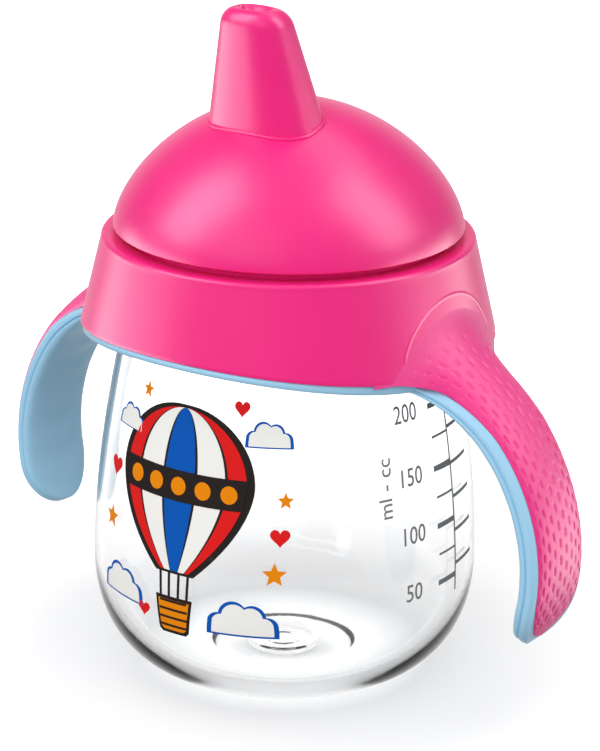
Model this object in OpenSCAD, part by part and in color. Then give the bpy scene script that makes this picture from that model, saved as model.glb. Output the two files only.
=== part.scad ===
// Trainer cup with a leaning spout and two curved handles.
// Base on z = 0, cup axis on Z, handles along X, spout leaning towards -Y.

/* [Cup] */
// Widest radius of the cup
cup_r = 38.2; // [35:0.1:46]
// Height of the cup's rim
cup_h = 84.9; // [70:0.1:104]
// Height at which the cup is widest
belly_z = 23; // [20:0.5:28]
// Radius of the ring that the cup stands on
foot_r = 18.2; // [15:0.1:22]
// Wall of the cup
cup_wall = 1.8; // [1.5:0.1:2.2]
// Thickness of the cup's floor
floor_t = 2.2; // [1.8:0.1:2.8]
// Outer radius of the neck
neck_r = 32; // [26:0.1:34]
// Length of the straight neck
neck_h = 13.7; // [13:0.1:16]
// Height of the hollow under the floor
punt_h = 0.9; // [0.5:0.1:1.2]

/* [Thread] */
// Rise of the thread in one turn
lead = 5; // [4.5:0.1:6]
// Turns of thread on the neck and in the ring
thread_turns = 1.2; // [1:0.1:1.4]
// Height of a thread ridge
thread_depth = 1.4; // [1.2:0.1:1.6]
// Width of a ridge at its foot
thread_foot = 2.3; // [2:0.1:2.5]
// Width of a ridge at its crest
thread_crest = 1.2; // [0.8:0.1:1.4]
// Radial gap between a crest and the opposite wall
thread_gap = 0.5; // [0.4:0.05:0.8]
// Gap between the flanks of the two threads
flank_gap = 0.4; // [0.35:0.05:0.6]
// Distance from the rim down to the end of the neck thread
thread_drop = 2.4; // [2:0.1:3]

/* [Collar] */
// Thickness of the pink collar
collar_t = 1.5; // [1.3:0.1:2]
// Thickness of the lip over the lid's flange
lip_t = 1.2; // [1:0.1:1.6]
// Growth of the collar's radius for each millimetre downwards
collar_flare = 0.24; // [0.15:0.01:0.28]
// Height of the collar at its front and back
collar_h = 15.9; // [15:0.1:18]
// Extra height of the collar at the handles
arch_drop = 4.1; // [3:0.1:6]
// Radius of the collar's top edge
collar_edge = 0.8; // [0.4:0.1:1]

/* [Handle ring] */
// Wall of the threaded sleeve
sleeve_t = 1.6; // [1.3:0.1:2]
// Thickness of the ring between the bore and the collar at its top
ring_top_t = 0.8; // [0.8:0.1:1.5]
// Thickness of the ring's outer skirt
skirt_t = 1.5; // [1.2:0.1:2]
// Height of blue that shows below the collar at its front and back
band_h = 1.2; // [0.8:0.1:2]
// Extra height of that band at the handles
band_grow = 1; // [0.8:0.1:1.5]

/* [Handles] */
// Half the width of a handle
handle_b = 9.2; // [8:0.1:11]
// Half the width of a handle where it leaves the collar
root_b = 12.6; // [11:0.1:14]
// Thickness of the blue core at the handle's edges
core_t = 3.8; // [2.6:0.1:4]
// Thickness of the whole handle along its middle
handle_t = 5.9; // [5.4:0.1:8]
// Extra thickness of a grip where it runs up the collar
root_rise = 3.2; // [2:0.1:5]
// Distance from the collar's edge out to the inner face of a handle at its widest
handle_reach = 20.1; // [17:0.1:25]
// Depth of a handle's tip below the collar's edge
handle_drop = 53.7; // [46:0.1:56]

/* [Lid] */
// Reach of the dome past the lid's skirt
dome_over = 2.4; // [1.2:0.1:3.4]
// Height of the dome
dome_h = 24.9; // [21:0.1:30]
// Wall of the dome
dome_t = 1.8; // [1.5:0.1:2.2]
// Open groove between the dome and the collar
groove_h = 1.2; // [0.8:0.1:1.8]
// Thickness of the flange under the collar's lip
flange_t = 1.4; // [1.2:0.1:1.8]
// Reach of the collar's lip over that flange
lip_over = 0.7; // [0.6:0.1:1.2]
// Thickness of the sealing ring
seal_t = 1.4; // [1.2:0.1:2]

/* [Spout] */
// Height of the spout above the dome's top
spout_h = 19.6; // [16:0.1:26]
// Half the spout's width at the dome
spout_base_x = 11; // [10:0.1:13]
// Half the spout's depth at the dome
spout_base_y = 7.6; // [7:0.1:9]
// Half the spout's width at its top
spout_top_x = 6.5; // [6:0.1:9]
// Half the spout's depth at its top
spout_top_y = 4.9; // [4.6:0.1:6.5]
// Distance from the cup's axis to the spout's foot
spout_base_off = 8; // [5:0.1:9]
// Distance from the cup's axis to the spout's top
spout_top_off = 11.4; // [8:0.1:15]
// Wall of the spout
spout_t = 1.6; // [1.4:0.1:2]
// Radius of the spout's top edge
spout_round = 3; // [2:0.1:3.5]
// Thickness of the spout's end
spout_end_t = 2.6; // [2:0.1:3.5]
// Depth of the dish in the spout's end
dish_depth = 1.2; // [0.6:0.1:1.6]
// Radius of a drinking hole
hole_r = 0.9; // [0.6:0.05:1.2]
// Distance between neighbouring drinking holes
hole_pitch = 3.2; // [2.8:0.1:3.6]

/* [Valve] */
// Bore of the socket below the spout
drink_r = 6.4; // [5.8:0.1:6.8]
// Bore of the air socket
vent_r = 3.6; // [3.2:0.1:4.2]
// Distance from the cup's axis to the air socket
vent_off = 9; // [8.5:0.1:11]
// Height of the sockets' mouths above the dome's edge
socket_rise = 8; // [7:0.1:9]
// Depth of both sockets' grip on the valve
plug_h = 6; // [5:0.1:7]
// Gap between a plug and its socket
plug_gap = 0.1; // [0.05:0.01:0.15]
// Wall of the valve and of its sockets
valve_t = 1.3; // [1:0.1:1.5]
// Thickness of the bridge between the two plugs
bridge_t = 2; // [1.5:0.1:3]
// Width of that bridge
bridge_w = 7; // [5:0.1:9]
// Length of the tab that pulls the valve out
tab_h = 7; // [5:0.1:9]
// Width of the tab
tab_w = 10; // [8:0.1:14]
// Thickness of the tab
tab_t = 1.6; // [1.2:0.1:2]
// Radius of the air hole in the lid
air_r = 0.6; // [0.4:0.05:0.8]
// Thickness of the silicone valve discs
disc_t = 1.1; // [0.8:0.1:1.4]
// Width of the slits in a valve disc
slit_w = 0.15; // [0.1:0.01:0.3]

/* [Clearances] */
// Gap between pieces that are fixed to each other
fixed_gap = 0.05; // [0.02:0.01:0.1]
// Gap that closes when the ring is screwed tight
closing_gap = 0.1; // [0.05:0.01:0.2]
// Gap round the lid's flange inside the ring's bore
flange_gap = 1.1; // [0.8:0.1:1.4]
// Gap between the lid's skirt and the collar's lip
skirt_gap = 0.4; // [0.3:0.1:0.8]

/* [Hidden] */
$fn = 96;

clear = "#eaf2f4";
pink = "#f42a83";
blue = "#a9dcf8";
white = "#f1f1ee";

// Overlap that fuses two shapes of one piece
fuse = 0.3;
// Extra length of a cut past the face that it opens
past = 1;

// Squareness of the belly's curve and flatness of the side above it
belly_power = 0.89;
shoulder_power = 1.77;
// Powers of the dome's outline, which is a little more pointed than an ellipse
dome_power_r = 1.036;
dome_power_z = 1.29;
// Squareness of the spout
spout_power = 0.82;
// Height of the dome above its sharp lower edge
dome_foot = 0.4;
// Radius of the ball that dishes the spout's end
dish_r = 11;
// Share of a handle's width that its grip covers
grip_share = 0.85;
// Curve of a handle: fall and reach of its shoulder, outward bow, and how far the tip tucks back in
shoulder_fall = 11.2;
shoulder_reach = 0.75;
handle_bow = 6.4;
bow_fall = 0.67;
tip_tuck = 3.6;
// How far a handle's core starts inside the collar's edge
root_in = 3;
// Height of the solid block that joins a core to the ring
root_h = 3.2;
// Gap between that block and the collar
block_gap = 0.2;

neck_z = cup_h - neck_h;
bore_r = neck_r + thread_depth + thread_gap;
seal_z = cup_h + closing_gap;
flange_z = seal_z + seal_t + fixed_gap;
flange_r = bore_r - flange_gap;
lip_z = flange_z + flange_t + closing_gap;
collar_z = lip_z + lip_t;
collar_r = bore_r + ring_top_t + collar_t;
collar_hole_r = flange_r - lip_over;
skirt_r = collar_hole_r - skirt_gap;
dome_r = skirt_r + dome_over;
dome_z = collar_z + groove_h;
edge_z = collar_z - collar_h;
edge_r = collar_r + collar_flare * collar_h;
root_z = edge_z - arch_drop - band_h - band_grow;
ring_z = root_z - 2;
dome_top = dome_z + dome_h;
spout_top = dome_top + spout_h;
socket_z = dome_z + socket_rise;
valve_z = socket_z - bridge_t;

root_angle = 1.1 * asin(root_b / edge_r);

function lerp(a, b, t) = a + (b - a) * t;
// Radius of the collar's outside at a height
function cone_r(z) = collar_r + collar_flare * (collar_z - z);

// A closed tube through rings of points that all have the same count
function tube_faces(rings, sides) = concat(
    [[for (i = [0:sides - 1]) sides - 1 - i]],
    [for (k = [0:rings - 2]) for (i = [0:sides - 1]) let (j = (i + 1) % sides)
        [k * sides + i, k * sides + j, (k + 1) * sides + j, (k + 1) * sides + i]],
    [[for (i = [0:sides - 1]) (rings - 1) * sides + i]]);

module tube(rings) {
    sides = len(rings[0]);
    polyhedron([for (ring = rings) each ring], tube_faces(len(rings), sides), convexity = 6);
}

// ---- Cup ----

// Points of a quarter curve that is squarer than an ellipse, from its foot out to its side
function belly(r0, r1, z0, z1) = [for (a = [0:7.5:90])
    [r0 + (r1 - r0) * pow(sin(a), belly_power), z1 - (z1 - z0) * pow(cos(a), belly_power)]];

// Points of the side above the belly, up to the neck
function shoulder(r0, r1, z0, z1) = [for (t = [0.125:0.125:1])
    [r0 - (r0 - r1) * pow(t, shoulder_power), lerp(z0, z1, t)]];

module cup_profile() {
    punt_r = foot_r - 3.5;
    inner_r = foot_r - 2;
    edge = 0.4;
    // A low ring moulded in the floor
    ring = [[8, 0], [7.4, 0.5], [6.4, 0.5], [5.8, 0]];
    outside = concat(belly(foot_r, cup_r, 0, belly_z), shoulder(cup_r, neck_r, belly_z, neck_z));
    inside = concat(belly(inner_r, cup_r - cup_wall, floor_t, belly_z),
        shoulder(cup_r - cup_wall, neck_r - cup_wall, belly_z, neck_z));
    polygon(concat(
        [[0, punt_h], [punt_r - 1, punt_h], [punt_r, 0]],
        outside,
        [[neck_r, cup_h - edge], [neck_r - edge, cup_h], [neck_r - cup_wall + edge, cup_h],
            [neck_r - cup_wall, cup_h - edge]],
        [for (i = [len(inside) - 1:-1:0]) inside[i]],
        [for (p = ring) [p[0], floor_t + p[1]]],
        [[0, floor_t]]));
}

// A ridge on a helix, from radius foot out or in to radius crest, that fades out at both ends
module thread(foot, crest, z_end) {
    step = 7.5;
    count = round(thread_turns * 360 / step);
    inward = foot > crest ? -1 : 1;
    tube([for (i = [0:count])
        let (
            a = i * step,
            fade = min(1, 0.12 + 0.88 * min(i, count - i) / 4),
            z = z_end - (count - i) * step / 360 * lead,
            r0 = foot - inward * fuse,
            r1 = lerp(foot, crest, fade),
            h0 = thread_foot / 2,
            h1 = lerp(h0, thread_crest / 2, fade),
            corners = [[r0, z - h0], [r1, z - h1], [r1, z + h1], [r0, z + h0]]
        )
        [for (c = inward > 0 ? corners : [for (k = [3:-1:0]) corners[k]])
            [c[0] * cos(a), c[0] * sin(a), c[1]]]]);
}

module cup_body() {
    color(clear, 0.4) {
        rotate_extrude() cup_profile();
        thread(neck_r, neck_r + thread_depth, cup_h - thread_drop);
    }
}

// ---- Handle shapes ----

// The middle line of a handle's inner face: a cubic curve in the XZ plane
path = [[edge_r - root_in, root_z], [edge_r + shoulder_reach * handle_reach, edge_z - shoulder_fall],
    [edge_r + handle_reach + handle_bow, edge_z - bow_fall * handle_drop],
    [edge_r + handle_reach - tip_tuck, edge_z - handle_drop]];

function bezier(p, t) = pow(1 - t, 3) * p[0] + 3 * pow(1 - t, 2) * t * p[1]
    + 3 * (1 - t) * t * t * p[2] + t * t * t * p[3];
function slope(p, t) = 3 * pow(1 - t, 2) * (p[1] - p[0]) + 6 * (1 - t) * t * (p[2] - p[1])
    + 3 * t * t * (p[3] - p[2]);
function outward(p, t) = let (d = slope(p, t), n = norm(d)) [-d[1] / n, d[0] / n];

// A point of the handle: along the path, across it, and out from its inner face
function handle_point(t, across, out) = let (c = bezier(path, t), n = outward(path, t))
    [c[0] + n[0] * out, across, c[1] + n[1] * out];

// How wide the handle is along its path: a flare at the root and a round end
function round_end(t, last, length) = let (q = max(0, (t - last + length) / length)) sqrt(max(0, 1 - q * q));
function half_width(t) = handle_b + (root_b - handle_b) * pow(1 - t, 5);

// Where the core and its grip end along the path, and the length of their round ends
core_end = 1;
grip_end = 0.985;
end_length = 0.17;

function core_taper(t) = max(0.06, round_end(t, core_end, end_length));
// Height of the core's seat above the inner face: as thin as the band at the root
function seat(t) = lerp(band_h + band_grow - 0.2, core_t, min(1, t / 0.3)) * lerp(0.6, 1, core_taper(t));

// Blue core: a gently bulged inner face, a crease down each side and a flat seat for the grip
module handle_core() {
    tube([for (k = [0:25])
        let (
            t = k < 18 ? k / 18 * (1 - end_length) : 1 - end_length * (1 - sin((k - 17) / 8 * 86.5)),
            e = core_taper(t),
            b = half_width(t) * e,
            h = seat(t),
            half = [[0, -0.7 * e], [0.5 * b, -0.5 * e], [0.86 * b, 0.03 * h], [0.98 * b, 0.27 * h],
                [0.955 * b, 0.45 * h], [0.96 * b, 0.64 * h], [grip_share * b, h]]
        )
        concat(
            [for (p = half) handle_point(t, -p[0], p[1])],
            [for (i = [6:-1:1]) handle_point(t, half[i][0], half[i][1])])]);
}

// Pink grip: a dome over the core's seat that thickens into the collar at its root
module handle_grip() {
    tube([for (k = [0:25])
        let (
            t = k < 18 ? k / 18 * 0.8 : 0.8 + (grip_end - 0.8) * sin((k - 17) / 8 * 87),
            e = max(0.05, round_end(t, grip_end, end_length)),
            b = grip_share * half_width(t) * e,
            low = seat(t) + fixed_gap,
            thick = (handle_t + root_rise * pow(1 - t, 8)) * (1 - 0.35 * pow(t, 4)),
            rise = max(0.3, (thick - low) * lerp(0.3, 1, e))
        )
        concat(
            [handle_point(t, b, low), handle_point(t, -b, low)],
            [for (a = [-67.5:22.5:67.5]) handle_point(t, b * sin(a), low + rise * cos(a))])]);
}

module both_handles() {
    for (side = [0, 180]) rotate(side) children();
}

// Everything below an arched edge that is top high at the front and back and drop lower at the handles
module arch_below(top, drop) {
    arch_r = (edge_r * edge_r + drop * drop) / (2 * drop);
    translate([0, 0, top - arch_r])
        rotate([90, 0, 0])
            cylinder(r = arch_r, h = 4 * edge_r, center = true, $fn = 360);
}

// ---- Handle ring, collar and grips ----

module ring_profile() {
    top = lip_z - fixed_gap;
    inset = collar_t + fixed_gap;
    sleeve_r = bore_r + sleeve_t;
    cavity_z = collar_z - (sleeve_r + skirt_t + inset + 0.8 - collar_r) / collar_flare;
    sleeve_z = edge_z + 1.5;
    difference() {
        polygon([[bore_r, ring_z], [cone_r(ring_z) - inset, ring_z],
            [cone_r(top) - inset, top], [bore_r, top]]);
        polygon([[sleeve_r, ring_z - past], [cone_r(ring_z - past) - inset - skirt_t, ring_z - past],
            [sleeve_r + 0.8, cavity_z], [sleeve_r, cavity_z]]);
        translate([bore_r - past, ring_z - past]) square([sleeve_t + past + 0.01, sleeve_z - ring_z + past]);
    }
}

module handle_ring() {
    middle = thread_foot - (thread_foot - thread_crest) * (1 + thread_gap / thread_depth) / 2;
    color(blue) {
        difference() {
            rotate(90) rotate_extrude() ring_profile();
            arch_below(edge_z - band_h, arch_drop + band_grow);
            both_handles()
                arc_block(bore_r + sleeve_t, 2 * edge_r, ring_z - past, root_z + root_h, root_angle);
        }
        both_handles() {
            handle_core();
            arc_block(edge_r - root_in - 0.8, edge_r - collar_t - block_gap, root_z + 0.2,
                root_z + root_h + 1, root_angle + 1.5);
        }
        thread(bore_r, bore_r - thread_depth, cup_h - thread_drop - middle - flank_gap);
    }
}

// An arc of a ring between two radii and two heights, centred on +X
module arc_block(r0, r1, z0, z1, half_angle) {
    rotate(-half_angle) rotate_extrude(angle = 2 * half_angle) translate([r0, z0]) square([r1 - r0, z1 - z0]);
}

module collar_solid(inset) {
    e = collar_edge;
    rotate_extrude() polygon([[0, ring_z], [cone_r(ring_z) - inset, ring_z],
        [cone_r(collar_z - e) - inset, collar_z - e], [collar_r - 0.3 * e - inset, collar_z - 0.3 * e],
        [collar_r - e - inset, collar_z], [0, collar_z]]);
}

module collar_cover() {
    color(pink) difference() {
        collar_solid(0);
        rotate_extrude() polygon([[0, ring_z - past], [cone_r(ring_z - past) - collar_t, ring_z - past],
            [cone_r(lip_z) - collar_t, lip_z], [collar_hole_r, lip_z],
            [collar_hole_r, collar_z + past], [0, collar_z + past]]);
        arch_below(edge_z, arch_drop);
    }
}

module grip() {
    color(pink) difference() {
        handle_grip();
        collar_solid(-fixed_gap);
    }
}

module grip_right() grip();
module grip_left() rotate(180) grip();

// ---- Lid, spout and seal ----

// Points of the dome from its edge up to the axis
function dome_points(r, z, h) = [for (a = [0:7.5:90])
    [r * pow(cos(a), dome_power_r), z + h * pow(sin(a), dome_power_z)]];

module spout_shape(inset, z0, z1) {
    // Heights are a share of the spout's own height, with a rounded top edge
    tube([for (k = [0:13])
        let (
            turn = max(0, k - 7) * 15,
            z = k < 8 ? lerp(z0, z1 - spout_round, k / 7) : z1 - spout_round * (1 - sin(turn)),
            edge = spout_round * (1 - cos(turn)) * 0.75,
            s = (z - dome_top) / spout_h,
            rx = lerp(spout_base_x, spout_top_x, s) - inset - edge,
            ry = lerp(spout_base_y, spout_top_y, s) - inset - edge,
            y = -lerp(spout_base_off, spout_top_off, s)
        )
        [for (a = [0:11.25:348.75]) [rx * soft(cos(a)), y - ry * soft(sin(a)), z]]]);
}

// Squares up an ellipse a little
function soft(c) = sign(c) * pow(abs(c), spout_power);

module lid_shell() {
    rotate_extrude() polygon(concat(
        [[skirt_r, flange_z], [flange_r, flange_z], [flange_r, flange_z + flange_t],
            [skirt_r, flange_z + flange_t + 0.01], [skirt_r, dome_z], [dome_r - 0.5, dome_z]],
        dome_points(dome_r, dome_z + dome_foot, dome_h - dome_foot),
        [for (p = [len(inner_dome) - 1:-1:0]) inner_dome[p]],
        [[skirt_r - dome_t, flange_z]]));
}

inner_dome = dome_points(skirt_r - dome_t, dome_z, dome_h - dome_t);

module socket(r, y) {
    intersection() {
        translate([0, y, socket_z]) cylinder(r = r + valve_t, h = dome_top - socket_z);
        rotate_extrude() polygon(concat([[0, flange_z], [dome_r - 1, flange_z]],
            dome_points(dome_r - 0.6, dome_z, dome_h - 0.6)));
    }
}

module spout_lid() {
    cavity_z = dome_top - 0.6;
    through = dome_top - socket_z + 2;
    color(pink) difference() {
        union() {
            lid_shell();
            intersection() {
                spout_shape(0, spout_foot_z, spout_top);
                above_dome();
            }
            socket(drink_r, -spout_base_off);
            socket(vent_r, vent_off);
        }
        spout_shape(spout_t, cavity_z, spout_top - spout_end_t);
        translate([0, -spout_base_off, socket_z - past]) cylinder(r = drink_r, h = plug_h + past);
        translate([0, -spout_base_off, socket_z]) cylinder(r = drink_r - valve_t - 0.7, h = through);
        translate([0, vent_off, socket_z - past]) cylinder(r = vent_r, h = plug_h + past);
        translate([0, vent_off, socket_z]) cylinder(r = air_r, h = through);
        translate([0, -spout_top_off, spout_top + dish_r - dish_depth]) sphere(r = dish_r);
        for (k = [-1:1])
            translate([k * hole_pitch, -spout_top_off, spout_top - spout_end_t - past])
                cylinder(r = hole_r, h = spout_end_t + 2 * past, $fn = 32);
    }
}

// Height inside the dome at which the spout's own shape starts
spout_foot_z = dome_z + 12;

// Everything outside the dome's inner surface
module above_dome() {
    difference() {
        translate([0, 0, spout_foot_z]) cylinder(r = dome_r, h = spout_top - spout_foot_z + past);
        rotate_extrude() polygon(concat([[0, flange_z], [skirt_r - dome_t, flange_z]], inner_dome));
    }
}

module lid_seal() {
    color(white) translate([0, 0, seal_z])
        difference() {
            cylinder(r = neck_r + 0.4, h = seal_t);
            translate([0, 0, -past]) cylinder(r = neck_r - cup_wall - 0.4, h = seal_t + 2 * past);
        }
}

// ---- Valve ----

module plug(r, y) {
    translate([0, y, valve_z]) cylinder(r = r - plug_gap, h = socket_z + plug_h - 0.3 - valve_z);
}

module plug_bore(r, y) {
    inner = r - plug_gap - valve_t;
    translate([0, y, valve_z - past]) cylinder(r = inner, h = plug_h + bridge_t + 2 * past);
}

module disc_seat(r, y) {
    translate([0, y, socket_z + plug_h / 2])
        cylinder(r = r - plug_gap - valve_t / 2, h = disc_t + 2 * fixed_gap);
}

module valve_body() {
    plate = bridge_t - fixed_gap;
    // The tab stands midway between the two plugs
    tab_y = (vent_off - vent_r - spout_base_off + drink_r) / 2;
    color(white) difference() {
        union() {
            plug(drink_r, -spout_base_off);
            plug(vent_r, vent_off);
            translate([0, -spout_base_off, valve_z]) cylinder(r = drink_r + valve_t, h = plate);
            translate([0, vent_off, valve_z]) cylinder(r = vent_r + valve_t, h = plate);
            translate([-bridge_w / 2, -spout_base_off, valve_z])
                cube([bridge_w, spout_base_off + vent_off, plate]);
            translate([-tab_t / 2, tab_y - tab_w / 2, valve_z - tab_h]) cube([tab_t, tab_w, tab_h + 1]);
        }
        plug_bore(drink_r, -spout_base_off);
        plug_bore(vent_r, vent_off);
        disc_seat(drink_r, -spout_base_off);
        disc_seat(vent_r, vent_off);
    }
}

// A silicone disc in its seat, with two crossed slits
module valve_disc(r, y) {
    outer = r - plug_gap - valve_t / 2 - fixed_gap;
    translate([0, y, socket_z + plug_h / 2 + fixed_gap]) difference() {
        cylinder(r = outer, h = disc_t);
        for (a = [45, 135]) rotate(a) cube([outer * 0.7, slit_w, 3 * disc_t], center = true);
    }
}

module drink_disc() color(white) valve_disc(drink_r, -spout_base_off);
module vent_disc() color(white) valve_disc(vent_r, vent_off);

cup_body();
handle_ring();
collar_cover();
grip_left();
grip_right();
spout_lid();
lid_seal();
valve_body();
drink_disc();
vent_disc();
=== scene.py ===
"""Trainer cup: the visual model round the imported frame, with its print, floor, lights and camera."""

import math

import bmesh
import bpy
from mathutils import Matrix, Vector


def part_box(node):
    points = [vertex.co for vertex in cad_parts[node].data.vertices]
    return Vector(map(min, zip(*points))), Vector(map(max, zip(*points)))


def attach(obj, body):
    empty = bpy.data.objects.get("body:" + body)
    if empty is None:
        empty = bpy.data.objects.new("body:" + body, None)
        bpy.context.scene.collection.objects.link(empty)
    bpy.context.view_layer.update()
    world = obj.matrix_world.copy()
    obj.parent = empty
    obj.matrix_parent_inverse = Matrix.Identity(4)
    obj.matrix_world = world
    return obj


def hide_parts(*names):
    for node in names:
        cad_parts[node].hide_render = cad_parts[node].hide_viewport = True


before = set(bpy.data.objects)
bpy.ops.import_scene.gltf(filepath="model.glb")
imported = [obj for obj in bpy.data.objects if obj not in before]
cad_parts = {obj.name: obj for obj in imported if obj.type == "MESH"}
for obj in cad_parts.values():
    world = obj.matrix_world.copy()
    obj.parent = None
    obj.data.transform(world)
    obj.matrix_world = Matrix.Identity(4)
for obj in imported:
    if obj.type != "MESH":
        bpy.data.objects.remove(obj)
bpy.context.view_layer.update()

MM = 0.001

# ---- Sizes, in millimetres, read from the frame where it holds them ----


def box_mm(node):
    """Lowest and highest corner of a CAD node in millimetres."""
    low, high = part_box(node)
    return [v / MM for v in low], [v / MM for v in high]


CUP_LOW, CUP_HIGH = box_mm("cup_body")
COLLAR_LOW, COLLAR_HIGH = box_mm("collar_cover")
LID_LOW, LID_HIGH = box_mm("spout_lid")
SEAL_LOW, SEAL_HIGH = box_mm("lid_seal")

CUP_R = CUP_HIGH[0]
CUP_H = CUP_HIGH[2]
CUP_WALL = 1.8
FLOOR_T = 2.2
FOOT_R = 18.2
BELLY_Z = 23.0
NECK_R = 32.0
NECK_Z = CUP_H - 13.7
BELLY_POWER = 0.89
SHOULDER_POWER = 1.77

LEAD = 5.0
THREAD_TURNS = 1.2
THREAD_DEPTH = 1.4
THREAD_FOOT = 2.3
THREAD_CREST = 1.2
THREAD_TOP = CUP_H - 2.4
FLANK_GAP = 0.4
BORE_R = NECK_R + THREAD_DEPTH + 0.5

COLLAR_Z = COLLAR_HIGH[2]
COLLAR_T = 1.5
COLLAR_R = BORE_R + 0.8 + COLLAR_T
COLLAR_FLARE = 0.24
COLLAR_EDGE = 0.8
LIP_T = 1.2
EDGE_Z = COLLAR_Z - 15.9
EDGE_R = COLLAR_R + COLLAR_FLARE * (COLLAR_Z - EDGE_Z)
ARCH_DROP = 4.1
BAND_H = 1.2
BAND_GROW = 1.0
ROOT_Z = EDGE_Z - ARCH_DROP - BAND_H - BAND_GROW
SLEEVE_T = 1.6
SKIRT_T = 1.5

HANDLE_B = 9.2
ROOT_B = 12.6
CORE_T = 3.8
HANDLE_T = 5.9
ROOT_RISE = 3.2
ROOT_IN = 3.0
SHOULDER_REACH = 0.75
SHOULDER_FALL = 11.2
HANDLE_BOW = 6.4
BOW_FALL = 0.67
TIP_TUCK = 3.6
REACH = 20.1
DROP = 53.7
END_LENGTH = 0.17

DOME_R = LID_HIGH[0]
DOME_Z = COLLAR_Z + 1.2
DOME_H = 24.9
DOME_T = 1.8
DOME_TOP = DOME_Z + DOME_H
DOME_POWER_R = 1.036
DOME_POWER_Z = 1.29
DOME_FOOT = 0.4
FLANGE_R = BORE_R - 1.1
SKIRT_R = FLANGE_R - 1.1
FLANGE_Z = SEAL_HIGH[2] + 0.05
FLANGE_T = 1.4
SPOUT_TOP = LID_HIGH[2]
SPOUT_BASE = (11.0, 7.6, 8.0)
SPOUT_TIP = (6.5, 4.9, 11.4)
SPOUT_SOFT = 0.82
SPOUT_ROUND = 3.0
SOCKET_Z = DOME_Z + 8.0
SOCKET_WALL = 1.3
DRINK_R = 6.4
VENT_R = 3.6
VENT_OFF = 9.0
HOLE_R = 0.85
HOLE_PITCH = 3.0
DISH_DEPTH = 1.3


def lerp(a, b, t):
    return a + (b - a) * t


def clamp(x, low=0.0, high=1.0):
    return max(low, min(high, x))


def smooth(x):
    """0 to 1 with level ends."""
    x = clamp(x)
    return x * x * (3 - 2 * x)


def cone_r(z):
    """Outer radius of the collar's cone at height z."""
    return COLLAR_R + COLLAR_FLARE * (COLLAR_Z - z)


def cup_radius(z):
    """Outer radius of the cup at height z."""
    if z <= BELLY_Z:
        c = clamp((BELLY_Z - z) / BELLY_Z) ** (1 / BELLY_POWER)
        return FOOT_R + (CUP_R - FOOT_R) * (1 - c * c) ** (BELLY_POWER / 2)
    t = clamp((z - BELLY_Z) / (NECK_Z - BELLY_Z))
    return CUP_R - (CUP_R - NECK_R) * t**SHOULDER_POWER


def arch_z(top, drop, x):
    """Height of an arched lower edge over a point x from the middle."""
    radius = (EDGE_R**2 + drop**2) / (2 * drop)
    return top - radius + math.sqrt(radius**2 - x**2)


# ---- Mesh building ----


class Shell:
    """Collects grids of points into one mesh, in millimetres."""

    def __init__(self):
        self.points = []
        self.faces = []

    def grid(self, rows, around=True, along=False):
        """Quads through rows of points; around closes each row, along joins the last row to the first."""
        base = len(self.points)
        count = len(rows[0])
        for row in rows:
            self.points.extend(row)
        last = len(rows) if along else len(rows) - 1
        for k in range(last):
            k2 = (k + 1) % len(rows)
            here, there = base + k * count, base + k2 * count
            for i in range(count if around else count - 1):
                j = (i + 1) % count
                self.faces.append((here + i, here + j, there + j, there + i))
        return base

    def cap(self, base, count, flip=False):
        """One face over a row that starts at base."""
        ring = list(range(base, base + count))
        self.faces.append(ring[::-1] if flip else ring)

    def build(self, name, material, body, sharp=40.0):
        mesh = bpy.data.meshes.new(name)
        mesh.from_pydata([Vector(p) * MM for p in self.points], [], self.faces)
        bm = bmesh.new()
        bm.from_mesh(mesh)
        bmesh.ops.remove_doubles(bm, verts=bm.verts, dist=0.002 * MM)
        bmesh.ops.recalc_face_normals(bm, faces=bm.faces)
        for face in bm.faces:
            face.smooth = True
        for edge in bm.edges:
            edge.smooth = len(edge.link_faces) != 2 or edge.calc_face_angle() < math.radians(sharp)
        bm.to_mesh(mesh)
        bm.free()
        obj = bpy.data.objects.new(name, mesh)
        bpy.context.scene.collection.objects.link(obj)
        mesh.materials.append(material)
        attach(obj, body)
        return obj


def lathe_rows(profile, sides, reach=None):
    """Rings of points round the Z axis. profile holds (radius, height); reach(r, z, a) may move a point."""
    rows = []
    for r, z in profile:
        row = []
        for i in range(sides):
            a = 2 * math.pi * i / sides
            rr, zz = reach(r, z, a) if reach else (r, z)
            row.append((rr * math.cos(a), rr * math.sin(a), zz))
        rows.append(row)
    return rows


def ridge_height(a, z, top, crest):
    """How far a thread ridge stands out, from 0 to 1, at angle a and height z."""
    best = 0.0
    for turn in range(-1, 3):
        along = a / (2 * math.pi) + turn
        if not 0 <= along <= THREAD_TURNS:
            continue
        middle = top - (THREAD_TURNS - along) * LEAD
        fade = clamp(min(along, THREAD_TURNS - along) * 12, 0, 1)
        flank = (THREAD_FOOT / 2 - abs(z - middle)) / ((THREAD_FOOT - THREAD_CREST) / 2)
        best = max(best, smooth(clamp(flank)) * fade)
    return best * crest


def steps(a, b, count):
    """count values from a towards b, without b."""
    return [lerp(a, b, k / count) for k in range(count)]


# ---- Cup ----


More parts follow.
